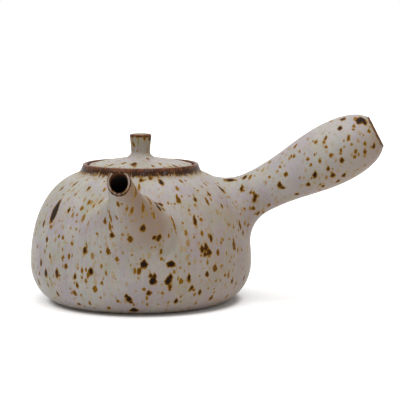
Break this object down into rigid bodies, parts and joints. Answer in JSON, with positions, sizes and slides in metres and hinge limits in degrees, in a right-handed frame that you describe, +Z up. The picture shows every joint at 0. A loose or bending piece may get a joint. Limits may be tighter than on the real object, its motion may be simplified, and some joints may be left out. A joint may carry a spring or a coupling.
{
  "type": "side-handled teapot",
  "caption": "Side-handled stoneware teapot: round body with collared mouth, bell-rooted spout, hollow club handle, pierced inner strainer and inset lift-off lid with knob.",
  "frame": {"origin": "centre of the foot ring, on the surface that the pot stands on", "axes": "+Z up along the body's turning axis, +X towards the handle's open end, -Y towards the spout's tip"},
  "size_m": [0.1749, 0.1259, 0.0931],
  "materials": {
    "glazed_stoneware": "satin off-white glaze with iron-brown speckles that breaks to brown on edges",
    "iron_stoneware": "thinly glazed dark brown stoneware"
  },
  "bodies": {
    "pot": {"pot_body": "glazed_stoneware", "spout": "glazed_stoneware", "side_handle": "glazed_stoneware", "strainer_dome": "iron_stoneware"},
    "lid": {"lid_disc": "glazed_stoneware", "lid_ring": "iron_stoneware", "lid_knob": "glazed_stoneware"}
  },
  "joints": [
    {"name": "lid_lift", "type": "slide", "parent": "pot", "child": "lid", "axis": [0, 0, 1], "range_m": [0, 0.06]}
  ]
}
